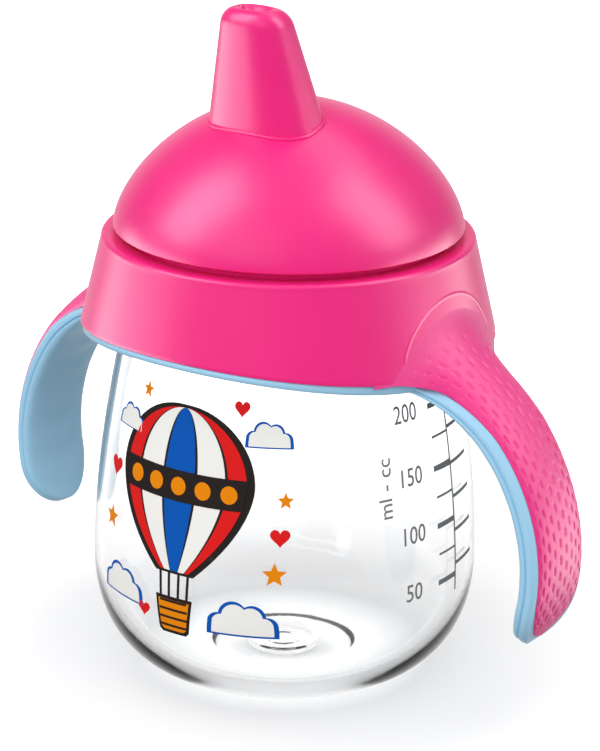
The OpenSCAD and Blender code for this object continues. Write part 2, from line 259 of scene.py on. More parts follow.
def cup_profile():
    punt = FOOT_R - 3.5
    out = [(0.0, 0.9)] + [(r, 0.9) for r in steps(2, punt - 1, 8)] + [(punt - 1, 0.9), (punt - 0.3, 0.25)]
    out += [(punt, 0.05), (punt + 0.5, 0.0), (FOOT_R - 0.6, 0.0)]
    for k in range(41):
        a = math.radians(90 * k / 40)
        z = BELLY_Z * (1 - math.cos(a) ** BELLY_POWER)
        out.append((cup_radius(z), z))
    out += [(cup_radius(z), z) for z in steps(BELLY_Z + 1.5, NECK_Z, 32)]
    out += [(NECK_R, z) for z in steps(NECK_Z, CUP_H - 0.5, 52)]
    out += [(NECK_R, CUP_H - 0.5), (NECK_R - 0.15, CUP_H - 0.15), (NECK_R - 0.5, CUP_H)]
    out += [(NECK_R - CUP_WALL + 0.5, CUP_H), (NECK_R - CUP_WALL + 0.15, CUP_H - 0.15)]
    out += [(NECK_R - CUP_WALL, z) for z in steps(CUP_H - 0.5, NECK_Z, 6)]
    out += [(cup_radius(z) - CUP_WALL, z) for z in steps(NECK_Z, BELLY_Z, 32)]
    inner_r = FOOT_R - 2
    for k in range(40, -1, -1):
        a = math.radians(90 * k / 40)
        r = inner_r + (CUP_R - CUP_WALL - inner_r) * math.sin(a) ** BELLY_POWER
        out.append((r, BELLY_Z - (BELLY_Z - FLOOR_T) * math.cos(a) ** BELLY_POWER))
    for ring_r, height in ((6.6, 0.4), (3.2, 0.2)):
        for k in range(9):
            s = math.cos(math.pi * (k - 4) / 8)
            out.append((ring_r - 1.1 * (k - 4) / 4, FLOOR_T + height * s))
    out += [(r, FLOOR_T) for r in steps(2, 0, 3)] + [(0.0, FLOOR_T)]
    return out


def build_cup(material):
    def threaded(r, z, a):
        if r >= NECK_R - 0.01 and z > NECK_Z:
            return r + ridge_height(a, z, THREAD_TOP, THREAD_DEPTH), z
        return r, z

    shell = Shell()
    shell.grid(lathe_rows(cup_profile(), 256, threaded))
    cup = shell.build("cup_beaker", material, "cup", sharp=60)
    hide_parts("cup_body")


# ---- Handles ----

PATH = [
    (EDGE_R - ROOT_IN, ROOT_Z),
    (EDGE_R + SHOULDER_REACH * REACH, EDGE_Z - SHOULDER_FALL),
    (EDGE_R + REACH + HANDLE_BOW, EDGE_Z - BOW_FALL * DROP),
    (EDGE_R + REACH - TIP_TUCK, EDGE_Z - DROP),
]


def path_frame(t):
    """Point on the middle of a handle's inner face, and the outward direction there."""
    p, q = PATH, 1 - t
    x, z = (
        q**3 * p[0][k] + 3 * q * q * t * p[1][k] + 3 * q * t * t * p[2][k] + t**3 * p[3][k]
        for k in (0, 1)
    )
    dx, dz = (
        3 * q * q * (p[1][k] - p[0][k]) + 6 * q * t * (p[2][k] - p[1][k]) + 3 * t * t * (p[3][k] - p[2][k])
        for k in (0, 1)
    )
    n = math.hypot(dx, dz)
    return x, z, -dz / n, dx / n


def handle_point(t, across, out):
    x, z, nx, nz = path_frame(t)
    return [x + nx * out, across, z + nz * out]


def round_end(t, last):
    q = max(0.0, (t - last + END_LENGTH) / END_LENGTH)
    return math.sqrt(max(0.0, 1 - q * q))


def half_width(t):
    return HANDLE_B + (ROOT_B - HANDLE_B) * (1 - t) ** 5


def seat(t):
    """Height of the core's seat above its inner face."""
    taper = max(0.06, round_end(t, 1.0))
    return lerp(BAND_H + BAND_GROW - 0.2, CORE_T, clamp(t / 0.3)) * lerp(0.6, 1, taper)


def end_steps(first, last, straight, count, end_count):
    """Places along a handle, closer together round its end."""
    body = [lerp(first, straight, k / count) for k in range(count)]
    turns = [math.radians(89 * k / end_count) for k in range(end_count + 1)]
    return body + [straight + (last - straight) * math.sin(turn) for turn in turns]


def core_section(t, e):
    """Points of the core's section: across, and out from the inner face."""
    b, h = half_width(t) * e, seat(t)
    inner = []
    for k in range(25):
        s = k / 24
        corner = 1 - math.sqrt(max(0.0, 1 - s**10))
        ripple = 0.10 * math.sin(t * 46 + s * 2.2) * e * (1 - s**4) * smooth((t - 0.12) / 0.1)
        inner.append((b * 0.985 * s, -0.7 * e * (1 - s * s) + ripple + corner * 0.27 * h))
    side = []
    for k in range(1, 13):
        u = k / 12
        crease = 0.05 * b * math.exp(-(((u - 0.42) / 0.1) ** 2))
        side.append((b * (0.985 - 0.02 * u) - crease, h * lerp(0.27, 0.7, u)))
    top = [(lerp(0.965, 0.85, smooth(k / 5)) * b, h * lerp(0.7, 1, k / 5)) for k in range(1, 6)]
    half = inner + side + top + [(0.4 * b, h)]
    return [(-a, o) for a, o in half] + [(a, o) for a, o in half[:0:-1]]


def add_core(shell, side):
    rows = []
    for t in end_steps(0.0, 1.0, 0.83, 90, 18):
        e = max(0.02, round_end(t, 1.0))
        row = [handle_point(t, a, o) for a, o in core_section(t, max(0.06, e))]
        rows.append([(side * x, side * y, z) for x, y, z in row])
    base = shell.grid(rows)
    count = len(rows[0])
    shell.cap(base, count)
    shell.cap(base + (len(rows) - 1) * count, count, flip=True)


GRIP_START = -0.16
GRIP_END = 0.962
GRIP_SHARE = 0.83
DASH_PITCH = 3.3
DASH_LONG = 0.85
DASH_WIDE = 0.3
DASH_DEPTH = 0.24
DASH_COLUMNS = [math.radians(14.5 * k) for k in range(-5, 6)]


def dash_depth(length, angle, across_scale, shown):
    """Depth of the pattern of short recessed dashes at a place on the grip."""
    depth = 0.0
    for k, column in enumerate(DASH_COLUMNS):
        side = abs(angle - column) * across_scale
        if side > 3 * DASH_WIDE:
            continue
        phase = (length + (k % 2) * DASH_PITCH / 2) % DASH_PITCH - DASH_PITCH / 2
        end = max(0.0, abs(phase) - DASH_LONG + DASH_WIDE)
        edge = (DASH_WIDE - math.hypot(side, end)) / 0.22
        depth = max(depth, smooth(edge + 0.5))
    return depth * DASH_DEPTH * shown


FILLET = 7.0


def onto_collar(x, y, z):
    """Blends a point of the grip's skin into the collar's cone with a soft fillet."""
    r = math.hypot(x, y)
    gap = r - cone_r(z)
    if gap > FILLET:
        return x, y, z
    lift = (gap + FILLET) ** 2 / (4 * FILLET) if gap > -FILLET else 0.0
    sink = 0.02 + 0.12 * smooth(-(gap + FILLET) / 5)
    k = (cone_r(z) + lift - sink) / r
    return x * k, y * k, z


def build_grip(name, node, side, material):
    sides = 96
    rows, length, previous = [], 0.0, None
    for t in end_steps(GRIP_START, GRIP_END, 0.8, 210, 46):
        e = max(0.03, round_end(t, GRIP_END))
        root = smooth((0.12 - t) / 0.2)
        b = GRIP_SHARE * half_width(t) * e * lerp(1, 1.22, root)
        low = seat(max(0.0, t)) + 0.05
        thick = (HANDLE_T + ROOT_RISE * (1 - t) ** 8) * (1 - 0.42 * max(0.0, t) ** 4)
        rise = max(0.3, (thick - low) * lerp(0.3, 1, e))
        here = path_frame(t)
        length += math.hypot(here[0] - previous[0], here[1] - previous[1]) * 1.1 if previous else 0.0
        previous = here
        shown = smooth((t + 0.08) / 0.05) * smooth((0.93 - t) / 0.05)
        row = []
        for k in range(sides + 1):
            angle = math.radians(lerp(-90, 90, k / sides))
            edge = smooth((math.radians(78) - abs(angle)) / 0.12)
            deep = dash_depth(length, angle, max(b, 6.0), shown * edge)
            height = low + rise * math.cos(angle) ** lerp(1.1, 2.0, root) - deep
            point = handle_point(t, b * math.sin(angle), height)
            row.append(onto_collar(*point) if t < 0.5 else tuple(point))
        for k in range(1, 4):
            point = handle_point(t, b * (1 - k / 2), low)
            row.append(onto_collar(*point) if t < 0.5 else tuple(point))
        rows.append([(side * x, side * y, z) for x, y, z in row])
    shell = Shell()
    base = shell.grid(rows)
    count = len(rows[0])
    shell.cap(base, count)
    shell.cap(base + (len(rows) - 1) * count, count, flip=True)
    grip = shell.build(name, material, "ring", sharp=50)
    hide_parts(node)
    return grip


# ---- Ring and collar ----


def ring_row(radius, height, sides=288):
    """A row of points round the Z axis at height(angle) and radius(angle, z)."""
    out = []
    for i in range(sides):
        a = 2 * math.pi * i / sides
        z = height(a)
        r = radius(a, z)
        out.append((r * math.cos(a), r * math.sin(a), z))
    return out


def collar_low(a):
    """Height of the collar's arched lower edge at an angle."""
    return arch_z(EDGE_Z, ARCH_DROP, EDGE_R * math.cos(a))


def build_ring(material):
    """Threaded sleeve, outer skirt with its arched edge, and the cores of both handles."""
    inset = COLLAR_T + 0.05
    top = COLLAR_Z - LIP_T - 0.05
    sleeve_r, sleeve_z = BORE_R + SLEEVE_T, EDGE_Z + 1.5
    cavity_z = COLLAR_Z - (sleeve_r + SKIRT_T + inset + 0.8 - COLLAR_R) / COLLAR_FLARE
    thread_middle = THREAD_FOOT - (THREAD_FOOT - THREAD_CREST) * (1 + 0.5 / THREAD_DEPTH) / 2
    thread_top = THREAD_TOP - thread_middle - FLANK_GAP
    rows = []

    def edge_z(a):
        return arch_z(EDGE_Z - BAND_H, ARCH_DROP + BAND_GROW, EDGE_R * math.cos(a))

    def collar_edge(a):
        return collar_low(a) - 0.05

    def band_r(z):
        return min(cone_r(z) - 0.05, EDGE_R)

    def threaded_bore(a, z):
        return BORE_R - ridge_height(a, z, thread_top, THREAD_DEPTH)

    for z in steps(sleeve_z, top, 44):
        rows.append(ring_row(threaded_bore, lambda a: z))
    rows.append(ring_row(lambda a, z: BORE_R, lambda a: top))
    for k in range(12, -1, -1):
        rows.append(
            ring_row(lambda a, z: cone_r(z) - inset, lambda a: lerp(collar_edge(a) + 0.02, top, k / 12))
        )
    rows.append(ring_row(lambda a, z: cone_r(z) - inset, collar_edge))
    rows.append(ring_row(lambda a, z: band_r(z) - 0.2, collar_edge))
    rows.append(ring_row(lambda a, z: band_r(z), lambda a: collar_edge(a) - 0.2))
    rows.append(ring_row(lambda a, z: band_r(z), lambda a: edge_z(a) + 0.3))
    rows.append(ring_row(lambda a, z: band_r(z) - 0.3, edge_z))
    rows.append(ring_row(lambda a, z: cone_r(z) - inset - SKIRT_T + 0.3, edge_z))
    for share in (0.05, 0.5, 1.0):
        rows.append(
            ring_row(
                lambda a, z: max(sleeve_r + 0.8, cone_r(z) - inset - SKIRT_T),
                lambda a: lerp(edge_z(a), cavity_z, share),
            )
        )
    rows.append(ring_row(lambda a, z: sleeve_r, lambda a: cavity_z))
    rows.append(ring_row(lambda a, z: sleeve_r, lambda a: sleeve_z + 0.2))
    shell = Shell()
    shell.grid(rows, along=True)
    for side in (1, -1):
        add_core(shell, side)
    ring = shell.build("handle_frame", material, "ring", sharp=50)
    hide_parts("handle_ring")


def build_collar(material):
    e = COLLAR_EDGE
    lip_z = COLLAR_Z - LIP_T
    hole_r = FLANGE_R - 0.7
    rows = [
        ring_row(lambda a, z: cone_r(z) - COLLAR_T + 0.2, collar_low),
        ring_row(lambda a, z: cone_r(z) - 0.35, collar_low),
        ring_row(lambda a, z: cone_r(z) - 0.1, lambda a: collar_low(a) + 0.1),
    ]
    for k in range(31):
        rows.append(
            ring_row(lambda a, z: cone_r(z), lambda a: lerp(collar_low(a) + 0.35, COLLAR_Z - e, k / 30))
        )
    for k in range(1, 9):
        a = math.radians(90 * k / 8)
        edge_r = COLLAR_R + COLLAR_FLARE * e - e * (1 - math.cos(a))
        rows.append(ring_row(lambda _, z: edge_r, lambda _: COLLAR_Z - e + e * math.sin(a)))
    lip = [(hole_r + 0.2, COLLAR_Z), (hole_r, COLLAR_Z - 0.2), (hole_r, lip_z)]
    lip.append((cone_r(lip_z) - COLLAR_T, lip_z))
    for r, z in lip:
        rows.append(ring_row(lambda a, _: r, lambda a: z))
    rows.append(ring_row(lambda a, z: cone_r(z) - COLLAR_T, lambda a: collar_low(a) + 0.25))
    shell = Shell()
    shell.grid(rows, along=True)
    collar = shell.build("collar_shell", material, "ring", sharp=50)
    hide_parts("collar_cover")
    return collar


# ---- Lid ----


def dome_point(a, r, z, h):
    """Radius and height of the dome's curve at a turn a from its foot."""
    return r * math.cos(a) ** DOME_POWER_R, z + h * math.sin(a) ** DOME_POWER_Z


def dome_height(x, y):
    """Height of the dome's outer surface over a point."""
    c = clamp(math.hypot(x, y) / DOME_R) ** (1 / DOME_POWER_R)
    return DOME_Z + DOME_FOOT + (DOME_H - DOME_FOOT) * (1 - c * c) ** (DOME_POWER_Z / 2)


def spout_point(angle, z):
    """Point of the spout's skin at a height, with its rounded top edge."""
    s = (z - DOME_TOP) / (SPOUT_TOP - DOME_TOP)
    inset = 0.0
    over = z - (SPOUT_TOP - SPOUT_ROUND)
    if over > 0:
        inset = 0.8 * SPOUT_ROUND * (1 - math.sqrt(max(0.0, 1 - (over / SPOUT_ROUND) ** 2)))
    rx = lerp(SPOUT_BASE[0], SPOUT_TIP[0], s) - inset
    ry = lerp(SPOUT_BASE[1], SPOUT_TIP[1], s) - inset
    c, d = math.cos(angle), math.sin(angle)
    return (
        rx * math.copysign(abs(c) ** SPOUT_SOFT, c),
        -lerp(SPOUT_BASE[2], SPOUT_TIP[2], s) + ry * math.copysign(abs(d) ** SPOUT_SOFT, d),
        z,
    )


def spout_foot(angle):
    """Height at which the spout's skin meets the dome."""
    z = DOME_TOP - 4
    for _ in range(12):
        x, y, _ = spout_point(angle, z)
        z = dome_height(x, y)
    return z


def add_tube(shell, points, radius, sides=10):
    """A closed loop of tube through points."""
    rows = []
    count = len(points)
    turns = [2 * math.pi * i / sides for i in range(sides)]
    for k in range(count):
        here = Vector(points[k])
        ahead = (Vector(points[(k + 1) % count]) - Vector(points[k - 1])).normalized()
        out = ahead.cross(Vector((0, 0, 1))).normalized()
        up = out.cross(ahead)
        rows.append([tuple(here + radius * (out * math.cos(a) + up * math.sin(a))) for a in turns])
    shell.grid(rows, along=True)


def build_lid_dome(material):
    shell = Shell()
    profile = [(SKIRT_R, FLANGE_Z), (FLANGE_R - 0.2, FLANGE_Z), (FLANGE_R, FLANGE_Z + 0.2)]
    profile += [(FLANGE_R, FLANGE_Z + FLANGE_T - 0.2), (FLANGE_R - 0.2, FLANGE_Z + FLANGE_T)]
    profile += [(SKIRT_R, FLANGE_Z + FLANGE_T), (SKIRT_R, DOME_Z)]
    profile += [(DOME_R - 0.9, DOME_Z), (DOME_R - 0.3, DOME_Z + 0.1)]
    for k in range(73):
        profile.append(dome_point(math.radians(90 * k / 72), DOME_R, DOME_Z + DOME_FOOT, DOME_H - DOME_FOOT))
    for k in range(48, -1, -1):
        profile.append(dome_point(math.radians(90 * k / 48), SKIRT_R - DOME_T, DOME_Z, DOME_H - DOME_T))
    profile += [(SKIRT_R - DOME_T, FLANGE_Z)]
    shell.grid(lathe_rows(profile, 256), along=True)
    for bore, y in ((DRINK_R, -SPOUT_BASE[2]), (VENT_R, VENT_OFF)):
        top = dome_height(0, abs(y) + bore) - 1.0
        tube = [(bore + SOCKET_WALL, SOCKET_Z), (bore + SOCKET_WALL, top), (bore, top), (bore, SOCKET_Z)]
        rows = [[(px, py + y, pz) for px, py, pz in row] for row in lathe_rows(tube, 48)]
        shell.grid(rows, along=True)
    foot = []
    for i in range(128):
        angle = 2 * math.pi * i / 128
        z = spout_foot(angle)
        x, y, _ = spout_point(angle, z)
        foot.append((x, y, z + 0.05))
    add_tube(shell, foot, 0.42)
    dome = shell.build("lid_dome", material, "lid", sharp=45)
    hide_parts("spout_lid")
    return dome


def build_spout(material):
    """The leaning spout: its skin down to just inside the dome, a dished top and three drinking holes."""
    sides = 128
    angles = [2 * math.pi * i / sides for i in range(sides)]
    feet = [spout_foot(a) - 0.9 for a in angles]
    rows = []
    shoulder = SPOUT_TOP - SPOUT_ROUND
    for k in range(25):
        rows.append([spout_point(a, lerp(f, shoulder, k / 24)) for a, f in zip(angles, feet)])
    for k in range(1, 15):
        z = SPOUT_TOP - SPOUT_ROUND * (1 - math.sin(math.radians(90 * k / 14)))
        rows.append([spout_point(a, z) for a in angles])
    rim = rows[-1]
    for k in range(1, 17):
        s = 1 - k / 17
        dish = DISH_DEPTH * smooth((1 - s) / 0.75)
        rows.append([(x * s, -SPOUT_TIP[2] + (y + SPOUT_TIP[2]) * s, SPOUT_TOP - dish) for x, y, _ in rim])
    shell = Shell()
    base = shell.grid(rows)
    shell.cap(base, sides)
    shell.cap(base + (len(rows) - 1) * sides, sides, flip=True)
    spout = shell.build("lid_spout", material, "lid", sharp=50)
    cutters = []
    for x in (-HOLE_PITCH, 0.0, HOLE_PITCH):
        hole = Shell()
        tube = [(HOLE_R, SPOUT_TOP - 5), (HOLE_R, SPOUT_TOP + 1)]
        rows = [[(px + x, py - SPOUT_TIP[2], pz) for px, py, pz in row] for row in lathe_rows(tube, 32)]
        first = hole.grid(rows)
        hole.cap(first, 32)
        hole.cap(first + 32, 32, flip=True)
        cutters.append(hole.build("hole_cutter", material, "lid"))
    for cutter in cutters:
        cut = spout.modifiers.new("drinking_hole", "BOOLEAN")
        cut.object = cutter
        cut.operation = "DIFFERENCE"
        cut.solver = "EXACT"
    bpy.context.view_layer.update()
    evaluated = spout.evaluated_get(bpy.context.evaluated_depsgraph_get())
    finished = bpy.data.meshes.new_from_object(evaluated)
    spout.modifiers.clear()
    spout.data = finished
    for cutter in cutters:
        bpy.data.objects.remove(cutter)
    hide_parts("spout_lid")
    return spout


# ---- Materials ----


class Nodes:
    """Short calls for building a node tree."""

    def __init__(self, tree):
        self.tree = tree
        self.nodes = tree.nodes
        self.links = tree.links

    def add(self, kind, inputs=None, **settings):
        node = self.nodes.new(kind)
        for key, value in settings.items():
            setattr(node, key, value)
        for key, value in (inputs or {}).items():
            self.set(node.inputs[key], value)
        return node

    def set(self, socket, value):
        if isinstance(value, bpy.types.NodeSocket):
            self.links.new(value, socket)
        else:
            socket.default_value = value

    def math(self, operation, a, b=0.0, clamp_it=False):
        node = self.add("ShaderNodeMath", operation=operation, use_clamp=clamp_it)
        self.set(node.inputs[0], a)
        self.set(node.inputs[1], b)
        return node.outputs[0]

    def mix(self, factor, a, b, blend="MIX"):
        node = self.add("ShaderNodeMix", data_type="RGBA", blend_type=blend)
        self.set(node.inputs["Factor"], factor)
        self.set(node.inputs["A"], a)
        self.set(node.inputs["B"], b)
        return node.outputs["Result"]

    def noise(self, vector, scale, detail=2.0):
        node = self.add("ShaderNodeTexNoise", {"Vector": vector, "Scale": scale, "Detail": detail})
        return node.outputs["Fac"]

    def ramp(self, value, low, high, to_low=0.0, to_high=1.0):
        node = self.add("ShaderNodeMapRange", {"Value": value, "From Min": low, "From Max": high})
        node.inputs["To Min"].default_value = to_low
        node.inputs["To Max"].default_value = to_high
        return node.outputs["Result"]


def new_group(name, inputs, outputs):
    """An empty shader group with named sockets; each input is name: (kind, start value)."""
    group = bpy.data.node_groups.new(name, "ShaderNodeTree")
    for key, (kind, value) in inputs.items():
        socket = group.interface.new_socket(key, in_out="INPUT", socket_type=kind)
        socket.default_value = value
    for key, kind in outputs.items():
        group.interface.new_socket(key, in_out="OUTPUT", socket_type=kind)
    n = Nodes(group)
    return group, n, n.add("NodeGroupInput").outputs, n.add("NodeGroupOutput").inputs


FLOAT, COLOR = "NodeSocketFloat", "NodeSocketColor"


def moulding_group():
    """Injection moulding: fine skin texture and slow waves in the surface, and slight colour drift."""
    group, n, given, out = new_group(
        "moulded_skin",
        {
            "Color": (COLOR, (0.5, 0.5, 0.5, 1)),
            "Drift": (FLOAT, 0.04),
            "Roughness": (FLOAT, 0.35),
            "Roughness Spread": (FLOAT, 0.06),
            "Grain Scale": (FLOAT, 2600.0),
            "Grain": (FLOAT, 0.15),
            "Wave": (FLOAT, 0.3),
        },
        {"Color": COLOR, "Roughness": FLOAT, "Height": FLOAT},
    )
    place = n.add("ShaderNodeTexCoord").outputs["Object"]
    fine = n.noise(place, given["Grain Scale"], 2.0)
    slow = n.noise(place, 34.0, 1.5)
    cloud = n.noise(place, 85.0, 3.0)
    shade = n.math("MULTIPLY", n.math("SUBTRACT", cloud, 0.5), given["Drift"])
    bright = n.math("ADD", shade, 1.0)
    tint = n.add("ShaderNodeCombineColor", {"Red": bright, "Green": bright, "Blue": bright}).outputs[0]
    n.set(out["Color"], n.mix(1.0, given["Color"], tint, "MULTIPLY"))
    spread = n.math("MULTIPLY", n.math("SUBTRACT", cloud, 0.5), given["Roughness Spread"])
    n.set(out["Roughness"], n.math("ADD", given["Roughness"], spread, True))
    grain = n.math("MULTIPLY", fine, given["Grain"])
    n.set(out["Height"], n.math("ADD", grain, n.math("MULTIPLY", slow, given["Wave"])))
    return group


def handling_group():
    """Light signs of use: small scuffs that are rougher and a little paler, and faint smudges."""
    group, n, given, out = new_group(
        "handling_wear",
        {
            "Color": (COLOR, (0.5, 0.5, 0.5, 1)),
            "Roughness": (FLOAT, 0.35),
            "Amount": (FLOAT, 0.3),
            "Scuff Scale": (FLOAT, 420.0),
            "Scuff Color": (COLOR, (0.9, 0.9, 0.9, 1)),
        },
        {"Color": COLOR, "Roughness": FLOAT, "Scuff": FLOAT},
    )
    place = n.add("ShaderNodeTexCoord").outputs["Object"]
    stretch = n.add(
        "ShaderNodeMapping", {"Vector": place, "Rotation": (0.5, 0.3, 0.7), "Scale": (1.0, 0.18, 0.6)}
    )
    marks = n.ramp(n.noise(stretch.outputs[0], given["Scuff Scale"], 3.0), 0.68, 0.8)
    patches = n.ramp(n.noise(place, 60.0, 2.0), 0.5, 0.7)
    scuff = n.math("MULTIPLY", n.math("MULTIPLY", marks, patches), given["Amount"])
    smudge = n.math("MULTIPLY", n.ramp(n.noise(place, 110.0, 4.0), 0.45, 0.75), given["Amount"])
    n.set(out["Color"], n.mix(n.math("MULTIPLY", scuff, 0.35), given["Color"], given["Scuff Color"]))
    rough = n.math("ADD", given["Roughness"], n.math("MULTIPLY", scuff, 0.25))
    n.set(out["Roughness"], n.math("ADD", rough, n.math("MULTIPLY", smudge, 0.08), True))
    n.set(out["Scuff"], scuff)
    return group


def witness_group():
    """A thin raised circle round a place on both sides, as a mould insert leaves."""
    group, n, given, out = new_group(
        "insert_witness",
        {"Radius": (FLOAT, 0.0153), "Height Above": (FLOAT, 0.068), "Line Width": (FLOAT, 0.0004)},
        {"Mask": FLOAT},
    )
    place = n.add("ShaderNodeTexCoord").outputs["Object"]
    split = n.add("ShaderNodeSeparateXYZ", {"Vector": place}).outputs
    up = n.math("SUBTRACT", split["Z"], given["Height Above"])
    across = n.math("POWER", split["Y"], 2.0)
    far = n.math("SQRT", n.math("ADD", across, n.math("POWER", up, 2.0)))
    off = n.math("ABSOLUTE", n.math("SUBTRACT", far, given["Radius"]))
    n.set(out["Mask"], n.math("SUBTRACT", 1.0, n.math("DIVIDE", off, given["Line Width"]), True))
    return group


GROUPS = {"skin": moulding_group(), "wear": handling_group(), "witness": witness_group()}


def rgb(code):
    """Linear colour from a six-digit web colour."""
    out = []
    for k in (0, 2, 4):
        c = int(code[k : k + 2], 16) / 255
        out.append(c / 12.92 if c <= 0.04045 else ((c + 0.055) / 1.055) ** 2.4)
    return (*out, 1.0)


def plastic(name, color, roughness, skin=None, wear=None, bump=0.02, **shader):
    """A moulded plastic: skin texture, light wear, and a bump from both."""
    material = bpy.data.materials.new(name)
    material.use_nodes = True
    n = Nodes(material.node_tree)
    bsdf = n.nodes["Principled BSDF"]
    surface = n.add("ShaderNodeGroup", {}, node_tree=GROUPS["skin"])
    surface.inputs["Color"].default_value = color
    surface.inputs["Roughness"].default_value = roughness
    for key, value in (skin or {}).items():
        surface.inputs[key].default_value = value
    used = n.add("ShaderNodeGroup", {}, node_tree=GROUPS["wear"])
    for key, value in (wear or {}).items():
        used.inputs[key].default_value = value
    n.links.new(surface.outputs["Color"], used.inputs["Color"])
    n.links.new(surface.outputs["Roughness"], used.inputs["Roughness"])
    height = n.math("SUBTRACT", surface.outputs["Height"], n.math("MULTIPLY", used.outputs["Scuff"], 0.3))
    n.links.new(used.outputs["Color"], bsdf.inputs["Base Color"])
    n.links.new(used.outputs["Roughness"], bsdf.inputs["Roughness"])
    relief = n.add("ShaderNodeBump", {"Strength": 1.0, "Distance": bump * MM, "Height": height})
    n.links.new(relief.outputs["Normal"], bsdf.inputs["Normal"])
    for key, value in shader.items():
        bsdf.inputs[key.replace("_", " ")].default_value = value
    return material, n, used, relief


PINK = rgb("F51A82")
PINK_SCUFF = rgb("FF9CC6")
SMOOTH_MOULDING = {"Drift": 0.05, "Grain": 0.35, "Wave": 0.6, "Grain Scale": 2200.0}


def pink_collar_material():
    """The collar's pink, with the raised circle of its mould insert."""
    material, n, _, relief = plastic(
        "pink_collar_plastic",
        PINK,
        0.34,
        SMOOTH_MOULDING,
        {"Amount": 0.14, "Scuff Color": PINK_SCUFF},
        0.06,
    )
    ring = n.add("ShaderNodeGroup", {}, node_tree=GROUPS["witness"])
    mask = ring.outputs["Mask"]
    raised = n.add("ShaderNodeBump", {"Strength": 0.8, "Distance": 0.12 * MM, "Height": mask})
    n.links.new(relief.outputs["Normal"], raised.inputs["Normal"])
    n.links.new(raised.outputs["Normal"], n.nodes["Principled BSDF"].inputs["Normal"])
    return material


def glass_material():
    """Clear rigid plastic with a barely uneven surface."""
    material = bpy.data.materials.new("clear_beaker_plastic")
    material.use_nodes = True
    n = Nodes(material.node_tree)
    bsdf = n.nodes["Principled BSDF"]
    bsdf.inputs["Transmission Weight"].default_value = 1.0
    bsdf.inputs["IOR"].default_value = 1.42
    surface = n.add("ShaderNodeGroup", {}, node_tree=GROUPS["skin"])
    values = {"Drift": 0.006, "Roughness": 0.035, "Roughness Spread": 0.02, "Grain": 0.05, "Wave": 1.0}
    for key, value in values.items():
        surface.inputs[key].default_value = value
    surface.inputs["Color"].default_value = (0.985, 0.987, 0.987, 1)
    used = n.add("ShaderNodeGroup", {"Amount": 0.2}, node_tree=GROUPS["wear"])
    n.links.new(surface.outputs["Color"], used.inputs["Color"])
    n.links.new(surface.outputs["Roughness"], used.inputs["Roughness"])
    n.links.new(used.outputs["Color"], bsdf.inputs["Base Color"])
    n.links.new(used.outputs["Roughness"], bsdf.inputs["Roughness"])
    height = surface.outputs["Height"]
    relief = n.add("ShaderNodeBump", {"Strength": 0.6, "Distance": 0.03 * MM, "Height": height})
    n.links.new(relief.outputs["Normal"], bsdf.inputs["Normal"])
    path = n.add("ShaderNodeLightPath").outputs
    clear = n.add("ShaderNodeBsdfTransparent", {"Color": (0.93, 0.94, 0.94, 1)})
    lets_through = n.math("MAXIMUM", path["Is Shadow Ray"], path["Is Diffuse Ray"])
    pane = n.add("ShaderNodeMixShader", {"Fac": lets_through})
    n.links.new(bsdf.outputs[0], pane.inputs[1])
    n.links.new(clear.outputs[0], pane.inputs[2])
    n.links.new(pane.outputs[0], n.nodes["Material Output"].inputs["Surface"])
    return material


def ink_material(name, color):
    """Printed ink: a thin satin film with a fine screen-print grain."""
    skin = {"Drift": 0.08, "Grain": 0.5, "Wave": 0.2, "Grain Scale": 3400.0}
    wear = {"Amount": 0.15}
    return plastic(name, color, 0.6, skin, wear, 0.02, Specular_IOR_Level=0.15)[0]


def make_materials():
    light_scuffs = {"Amount": 0.14, "Scuff Color": PINK_SCUFF}
    made = {
        "clear": glass_material(),
        "collar": pink_collar_material(),
        "lid": plastic("pink_lid_plastic", PINK, 0.33, SMOOTH_MOULDING, light_scuffs, 0.06)[0],
        "grip": plastic(
            "pink_grip_rubber",
            rgb("F22A8B"),
            0.48,
            {"Drift": 0.06, "Grain": 0.6, "Wave": 0.4, "Grain Scale": 1700.0},
            {"Amount": 0.35, "Scuff Color": PINK_SCUFF},
            0.07,
            Sheen_Weight=0.08,
        )[0],
        "blue": plastic(
            "pale_blue_plastic",
            rgb("A6D8F5"),
            0.36,
            {"Drift": 0.04, "Grain": 0.3, "Wave": 0.8},
            {"Amount": 0.3, "Scuff Color": rgb("E4F3FC")},
            0.06,
            Subsurface_Weight=0.12,
            Subsurface_Scale=0.002,
        )[0],
        "valve": plastic(
            "white_valve_plastic", rgb("F2F2EE"), 0.4, {"Grain": 0.4, "Wave": 0.4}, {"Amount": 0.2}, 0.05
        )[0],
        "silicone": plastic(
            "soft_silicone",
            rgb("E9ECEE"),
            0.5,
            {"Drift": 0.06, "Grain": 0.7, "Wave": 0.5, "Grain Scale": 1500.0},
            {"Amount": 0.15},
            0.05,
            Subsurface_Weight=0.3,
            Subsurface_Scale=0.002,
        )[0],
    }
    return made


# ---- Print on the cup ----

PRINT_LIFT = 0.05
PRINT_THICK = 0.06


def ellipse(cx, cy, rx, ry, count=40, start=0.0, end=360.0):
    span = end - start
    full = abs(span) >= 360
    total = count if full else count + 1
    turns = [math.radians(start + span * k / count) for k in range(total)]
    return [(cx + rx * math.cos(a), cy + ry * math.sin(a)) for a in turns]


def wrap_point(across, z, middle, lift):
    """A place on the cup's skin: across runs along the surface from the middle angle, z is the height."""
    r = cup_radius(z) + lift
    a = math.radians(middle - 90) + across / CUP_R
    return (r * math.cos(a), r * math.sin(a), z)


